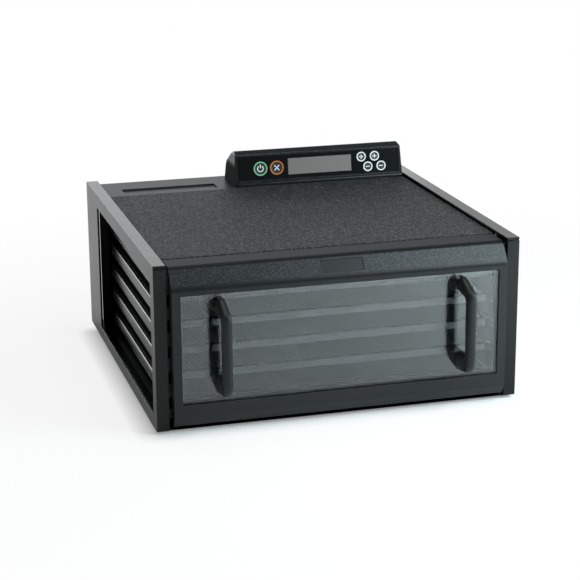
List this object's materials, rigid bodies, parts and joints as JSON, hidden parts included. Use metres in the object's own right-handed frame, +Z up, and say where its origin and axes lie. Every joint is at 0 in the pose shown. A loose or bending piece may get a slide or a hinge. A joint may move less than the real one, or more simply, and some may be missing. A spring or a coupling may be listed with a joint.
{
  "type": "food dehydrator",
  "caption": "Box food dehydrator: ribbed case with sliding trays, a top-hung clear door with bow handles, side frames and a raked control head on the roof.",
  "frame": {"origin": "centre of the bounding box in plan, at the soles of the feet", "axes": "+Z up, -Y out of the door towards the user, +X to the right seen from the door"},
  "size_m": [0.432, 0.4826, 0.2374],
  "materials": {
    "case_black": "fine matt",
    "frame_grey": "satin",
    "roof_grain": "leather grain",
    "rubber_foot": "matt",
    "zinc_steel": "zinc plated",
    "motor_steel": "plain",
    "blade_aluminium": "mill finish",
    "mica": "mica sheet",
    "heater_alloy": "oxidised wire",
    "inlet_black": "satin",
    "door_black": "satin with a grained header",
    "clear_pane": "clear",
    "seal_grey": "silicone",
    "handle_black": "satin",
    "overlay_film": "satin film",
    "display_grey": "unlit display",
    "circuit_board": "solder mask",
    "key_green": "ringed key",
    "key_orange": "ringed key",
    "key_white": "ringed key",
    "tray_plastic": "satin",
    "screen_plastic": "flexible mesh"
  },
  "bodies": {
    "case": {"case_shell": "case_black", "side_frame_left": "frame_grey", "side_frame_right": "frame_grey", "top_panel": "roof_grain", "foot_front_left": "rubber_foot", "foot_front_right": "rubber_foot", "foot_rear_left": "rubber_foot", "foot_rear_right": "rubber_foot", "air_baffle": "case_black", "fan_panel": "zinc_steel", "fan_motor": "motor_steel", "heater_frame": "mica", "heater_coil": "heater_alloy", "thermal_cutout": "zinc_steel", "temperature_probe": "zinc_steel", "rear_cover": "case_black", "power_inlet": "inlet_black", "hinge_pin_left": "zinc_steel", "hinge_pin_right": "zinc_steel", "control_housing": "case_black", "control_overlay": "overlay_film", "display_window": "display_grey", "lcd_module": "display_grey", "control_board": "circuit_board"},
    "door": {"door_frame": "door_black", "door_window": "clear_pane", "door_gasket": "seal_grey", "handle_left": "handle_black", "handle_right": "handle_black", "handle_screw_1": "zinc_steel", "handle_screw_2": "zinc_steel", "handle_screw_3": "zinc_steel", "handle_screw_4": "zinc_steel"},
    "fan": {"fan_shaft": "motor_steel", "fan_blade": "blade_aluminium"},
    "tray_1_set": {"tray_1": "tray_plastic", "tray_screen_1": "screen_plastic"},
    "tray_2_set": {"tray_2": "tray_plastic", "tray_screen_2": "screen_plastic"},
    "tray_3_set": {"tray_3": "tray_plastic", "tray_screen_3": "screen_plastic"},
    "tray_4_set": {"tray_4": "tray_plastic", "tray_screen_4": "screen_plastic"},
    "tray_5_set": {"tray_5": "tray_plastic", "tray_screen_5": "screen_plastic"},
    "button_start_key": {"button_start": "key_green"},
    "button_stop_key": {"button_stop": "key_orange"},
    "button_temp_up_key": {"button_temp_up": "key_white"},
    "button_temp_down_key": {"button_temp_down": "key_white"},
    "button_time_up_key": {"button_time_up": "key_white"},
    "button_time_down_key": {"button_time_down": "key_white"}
  },
  "joints": [
    {"name": "door_swing", "type": "hinge", "parent": "case", "child": "door", "pos_m": [0, -0.1611, 0.189], "axis": [-1, 0, 0], "range_deg": [0, 110]},
    {"name": "fan_spin", "type": "hinge", "parent": "case", "child": "fan", "pos_m": [0, 0.1903, 0.0979], "axis": [0, 1, 0], "continuous": true},
    {"name": "tray_slide_1", "type": "slide", "parent": "case", "child": "tray_1_set", "axis": [0, -1, 0], "range_m": [0, 0.3226]},
    {"name": "tray_slide_2", "type": "slide", "parent": "case", "child": "tray_2_set", "axis": [0, -1, 0], "range_m": [0, 0.2648]},
    {"name": "tray_slide_3", "type": "slide", "parent": "case", "child": "tray_3_set", "axis": [0, -1, 0], "range_m": [0, 0.207]},
    {"name": "tray_slide_4", "type": "slide", "parent": "case", "child": "tray_4_set", "axis": [0, -1, 0], "range_m": [0, 0.1492]},
    {"name": "tray_slide_5", "type": "slide", "parent": "case", "child": "tray_5_set", "axis": [0, -1, 0], "range_m": [0, 0.0914]},
    {"name": "press_start", "type": "slide", "parent": "case", "child": "button_start_key", "axis": [0, 0.989, -0.1478], "range_m": [0, 0.001], "stiffness_N_per_m": 1000, "springref_m": -0.0005},
    {"name": "press_stop", "type": "slide", "parent": "case", "child": "button_stop_key", "axis": [0, 0.989, -0.1478], "range_m": [0, 0.001], "stiffness_N_per_m": 1000, "springref_m": -0.0005},
    {"name": "press_temp_up", "type": "slide", "parent": "case", "child": "button_temp_up_key", "axis": [0, 0.989, -0.1478], "range_m": [0, 0.001], "stiffness_N_per_m": 1000, "springref_m": -0.0005},
    {"name": "press_temp_down", "type": "slide", "parent": "case", "child": "button_temp_down_key", "axis": [0, 0.989, -0.1478], "range_m": [0, 0.001], "stiffness_N_per_m": 1000, "springref_m": -0.0005},
    {"name": "press_time_up", "type": "slide", "parent": "case", "child": "button_time_up_key", "axis": [0, 0.989, -0.1478], "range_m": [0, 0.001], "stiffness_N_per_m": 1000, "springref_m": -0.0005},
    {"name": "press_time_down", "type": "slide", "parent": "case", "child": "button_time_down_key", "axis": [0, 0.989, -0.1478], "range_m": [0, 0.001], "stiffness_N_per_m": 1000, "springref_m": -0.0005}
  ],
  "couplings": [
    {"joint": "tray_slide_1", "follows": "door_swing", "m_per_rad": 0.168},
    {"joint": "tray_slide_2", "follows": "door_swing", "m_per_rad": 0.1379},
    {"joint": "tray_slide_3", "follows": "door_swing", "m_per_rad": 0.1078},
    {"joint": "tray_slide_4", "follows": "door_swing", "m_per_rad": 0.0777},
    {"joint": "tray_slide_5", "follows": "door_swing", "m_per_rad": 0.0476}
  ]
}
